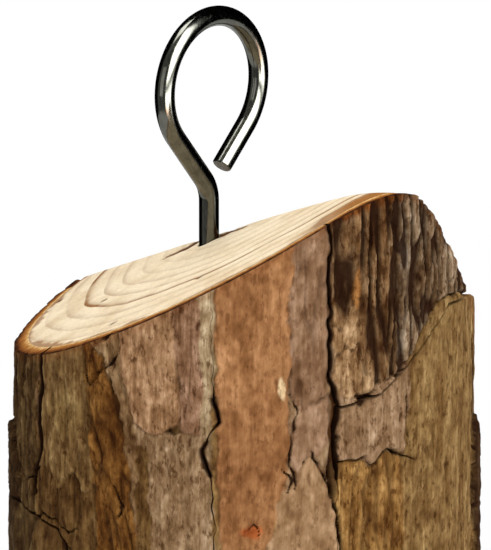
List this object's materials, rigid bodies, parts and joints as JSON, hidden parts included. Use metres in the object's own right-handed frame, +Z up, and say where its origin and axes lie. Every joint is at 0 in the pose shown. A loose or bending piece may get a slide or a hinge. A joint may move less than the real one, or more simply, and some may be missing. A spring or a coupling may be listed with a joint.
{
  "type": "hanging log feeder",
  "caption": "Length of barked log with a slanted sawn top, bored suet ports over dowel perches, and a screw eye to hang it by.",
  "frame": {"origin": "centre of the log's sawn foot, on the surface that it stands on", "axes": "+Z up along the log; the eye's ring lies in the XZ plane and is seen through along Y; ports face -Y, +X, +Y and -X"},
  "size_m": [0.18, 0.18, 0.3309],
  "materials": {
    "pale_wood": "sawn end grain",
    "bark": "rough natural bark",
    "red_bark": "smooth natural bark",
    "rough_bark": "deeply furrowed bark",
    "dowel": "sanded hardwood",
    "plated_steel": "bright zinc or nickel plate"
  },
  "bodies": {
    "log": {"log_core": "pale_wood", "bark_upper_front_left": "bark", "bark_upper_front_centre": "red_bark", "bark_crest_rough": "rough_bark", "bark_upper_front_right": "bark", "bark_upper_right": "bark", "bark_upper_back": "bark", "bark_upper_left": "bark", "bark_middle_front": "bark", "bark_middle_front_right": "bark", "bark_middle_right": "bark", "bark_middle_back": "bark", "bark_middle_left": "bark", "bark_lower_front": "bark", "bark_lower_right": "bark", "bark_lower_back": "bark", "bark_lower_left": "bark", "bark_lower_front_left": "bark", "perch_1": "dowel", "perch_2": "dowel", "perch_3": "dowel", "perch_4": "dowel"},
    "eye": {"screw_eye": "plated_steel"}
  },
  "joints": [
    {"name": "eye_turn", "type": "hinge", "parent": "log", "child": "eye", "pos_m": [-0.0051, 0.0058, 0.28], "axis": [0, 0, 1], "range_deg": [0, 180]}
  ]
}
